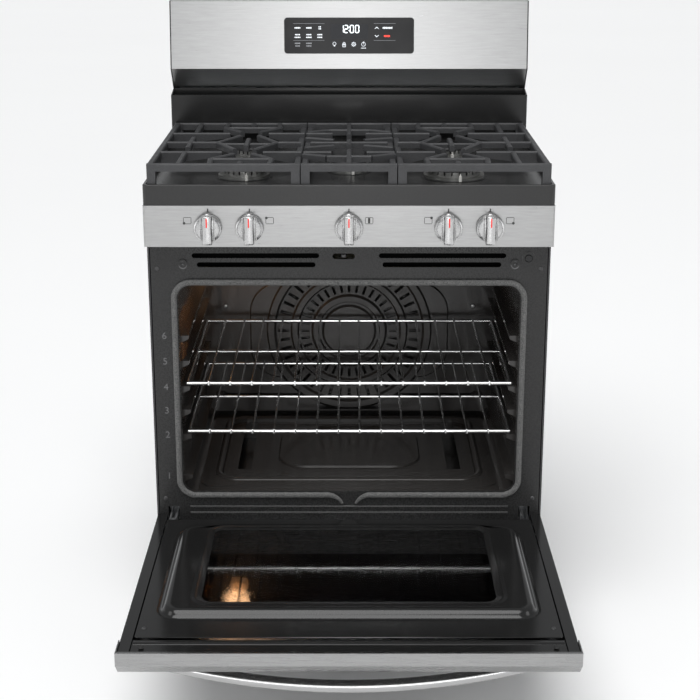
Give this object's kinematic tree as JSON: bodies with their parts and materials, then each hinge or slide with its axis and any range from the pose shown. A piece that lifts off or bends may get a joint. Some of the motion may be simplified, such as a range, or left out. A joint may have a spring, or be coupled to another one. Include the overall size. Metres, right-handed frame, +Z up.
{
  "type": "freestanding gas range",
  "caption": "Freestanding gas range with lift-off grates, push-turn knobs, drop-down oven door, sliding racks and storage drawer.",
  "frame": {"origin": "centre of the base of the bounding box, on the floor, with the oven door open", "axes": "+Z up, front faces -Y, +X to the right of a person facing the front"},
  "size_m": [0.757, 1.168, 1.182],
  "materials": {
    "painted_side": "satin black paint",
    "galvanised": "zinc-plated sheet",
    "black_enamel": "gloss porcelain enamel",
    "oven_enamel": "speckled porcelain enamel",
    "brushed_steel": "horizontal brushed",
    "knob_metal": "satin",
    "cast_iron": "matte enamelled cast iron",
    "burner_alloy": "cast",
    "cap_enamel": "matte black enamel",
    "ceramic": "white ceramic",
    "black_glass": "gloss black",
    "oven_glass": "tinted clear",
    "lamp_glass": "clear warm",
    "chrome_wire": "polished",
    "gasket_weave": "woven fibreglass",
    "insulation": "mineral fibre",
    "black_plastic": "satin",
    "brass_fitting": "satin",
    "pipe_steel": "satin"
  },
  "bodies": {
    "range_body": {"side_panel_left": "painted_side", "side_panel_right": "painted_side", "rear_panel": "galvanised", "base_frame": "galvanised", "front_frame": "black_enamel", "oven_cavity": "oven_enamel", "convection_cover": "oven_enamel", "fan_motor": "galvanised", "oven_floor_panel": "oven_enamel", "bake_burner": "pipe_steel", "broil_burner": "pipe_steel", "oven_gasket": "gasket_weave", "oven_lamp": "lamp_glass", "insulation_blanket": "insulation", "control_panel": "brushed_steel", "gas_valves": "brass_fitting", "gas_manifold": "pipe_steel", "cooktop": "black_enamel", "burner_heads": "burner_alloy", "burner_caps": "cap_enamel", "spark_electrodes": "ceramic", "backguard_panel": "brushed_steel", "backguard_rear": "galvanised", "backguard_end_caps": "black_plastic", "lower_backsplash": "black_enamel", "display_glass": "black_glass", "hinge_receivers": "galvanised", "drawer_rails": "galvanised"},
    "convection_fan": {"convection_fan": "burner_alloy"},
    "grate_left": {"grate_left": "cast_iron"},
    "grate_centre": {"grate_centre": "cast_iron"},
    "grate_right": {"grate_right": "cast_iron"},
    "rack_upper": {"rack_upper": "chrome_wire"},
    "rack_lower": {"rack_lower": "chrome_wire"},
    "light_switch": {"light_switch": "black_plastic"},
    "door_latch": {"door_latch": "galvanised"},
    "door": {"door_skin": "brushed_steel", "door_window": "black_glass", "door_inner_panel": "black_enamel", "door_inner_glass": "oven_glass", "door_top_trim": "black_enamel", "door_side_channels": "black_enamel", "door_hinge_arms": "galvanised", "door_handle": "brushed_steel"},
    "drawer": {"drawer_front": "brushed_steel", "drawer_box": "black_enamel"},
    "leg_front_left": {"leg_front_left": "black_plastic"},
    "leg_front_right": {"leg_front_right": "black_plastic"},
    "leg_rear_left": {"leg_rear_left": "black_plastic"},
    "leg_rear_right": {"leg_rear_right": "black_plastic"},
    "valve_plunger_1": {"valve_plunger_1": "brass_fitting"},
    "knob_1": {"knob_1": "knob_metal"},
    "valve_plunger_2": {"valve_plunger_2": "brass_fitting"},
    "knob_2": {"knob_2": "knob_metal"},
    "valve_plunger_3": {"valve_plunger_3": "brass_fitting"},
    "knob_3": {"knob_3": "knob_metal"},
    "valve_plunger_4": {"valve_plunger_4": "brass_fitting"},
    "knob_4": {"knob_4": "knob_metal"},
    "valve_plunger_5": {"valve_plunger_5": "brass_fitting"},
    "knob_5": {"knob_5": "knob_metal"}
  },
  "joints": [
    {"name": "door_hinge", "type": "hinge", "parent": "range_body", "child": "door", "pos_m": [0, -0.04, 0.217], "axis": [1, 0, 0], "range_deg": [-90, 0]},
    {"name": "drawer_slide", "type": "slide", "parent": "range_body", "child": "drawer", "axis": [0, -1, 0], "range_m": [0, 0.38]},
    {"name": "rack_upper_slide", "type": "slide", "parent": "range_body", "child": "rack_upper", "axis": [0, -1, 0], "range_m": [0, 0.3]},
    {"name": "rack_lower_slide", "type": "slide", "parent": "range_body", "child": "rack_lower", "axis": [0, -1, 0], "range_m": [0, 0.3]},
    {"name": "fan_spin", "type": "hinge", "parent": "range_body", "child": "convection_fan", "pos_m": [0, 0.484, 0.4565], "axis": [0, 1, 0], "continuous": true},
    {"name": "light_switch_push", "type": "slide", "parent": "range_body", "child": "light_switch", "axis": [0, 1, 0], "range_m": [0, 0.004], "stiffness_N_per_m": 600},
    {"name": "latch_swing", "type": "hinge", "parent": "range_body", "child": "door_latch", "pos_m": [-0.01, 0.014, 0.7495], "axis": [0, 0, 1], "range_deg": [0, 25]},
    {"name": "grate_left_lift", "type": "slide", "parent": "range_body", "child": "grate_left", "axis": [0, 0, 1], "range_m": [0, 0.12]},
    {"name": "grate_centre_lift", "type": "slide", "parent": "range_body", "child": "grate_centre", "axis": [0, 0, 1], "range_m": [0, 0.12]},
    {"name": "grate_right_lift", "type": "slide", "parent": "range_body", "child": "grate_right", "axis": [0, 0, 1], "range_m": [0, 0.12]},
    {"name": "leg_front_left_screw", "type": "slide", "parent": "range_body", "child": "leg_front_left", "axis": [0, 0, -1], "range_m": [0, 0.025]},
    {"name": "leg_front_right_screw", "type": "slide", "parent": "range_body", "child": "leg_front_right", "axis": [0, 0, -1], "range_m": [0, 0.025]},
    {"name": "leg_rear_left_screw", "type": "slide", "parent": "range_body", "child": "leg_rear_left", "axis": [0, 0, -1], "range_m": [0, 0.025]},
    {"name": "leg_rear_right_screw", "type": "slide", "parent": "range_body", "child": "leg_rear_right", "axis": [0, 0, -1], "range_m": [0, 0.025]},
    {"name": "knob_1_push", "type": "slide", "parent": "range_body", "child": "valve_plunger_1", "axis": [0, 1, 0], "range_m": [0, 0.003], "stiffness_N_per_m": 2000},
    {"name": "knob_1_turn", "type": "hinge", "parent": "valve_plunger_1", "child": "knob_1", "pos_m": [-0.259, -0.07, 0.814], "axis": [0, 1, 0], "range_deg": [-220, 0]},
    {"name": "knob_2_push", "type": "slide", "parent": "range_body", "child": "valve_plunger_2", "axis": [0, 1, 0], "range_m": [0, 0.003], "stiffness_N_per_m": 2000},
    {"name": "knob_2_turn", "type": "hinge", "parent": "valve_plunger_2", "child": "knob_2", "pos_m": [-0.1826, -0.07, 0.814], "axis": [0, 1, 0], "range_deg": [-220, 0]},
    {"name": "knob_3_push", "type": "slide", "parent": "range_body", "child": "valve_plunger_3", "axis": [0, 1, 0], "range_m": [0, 0.003], "stiffness_N_per_m": 2000},
    {"name": "knob_3_turn", "type": "hinge", "parent": "valve_plunger_3", "child": "knob_3", "pos_m": [0, -0.07, 0.814], "axis": [0, 1, 0], "range_deg": [-220, 0]},
    {"name": "knob_4_push", "type": "slide", "parent": "range_body", "child": "valve_plunger_4", "axis": [0, 1, 0], "range_m": [0, 0.003], "stiffness_N_per_m": 2000},
    {"name": "knob_4_turn", "type": "hinge", "parent": "valve_plunger_4", "child": "knob_4", "pos_m": [0.1826, -0.07, 0.814], "axis": [0, 1, 0], "range_deg": [-220, 0]},
    {"name": "knob_5_push", "type": "slide", "parent": "range_body", "child": "valve_plunger_5", "axis": [0, 1, 0], "range_m": [0, 0.003], "stiffness_N_per_m": 2000},
    {"name": "knob_5_turn", "type": "hinge", "parent": "valve_plunger_5", "child": "knob_5", "pos_m": [0.259, -0.07, 0.814], "axis": [0, 1, 0], "range_deg": [-220, 0]}
  ]
}
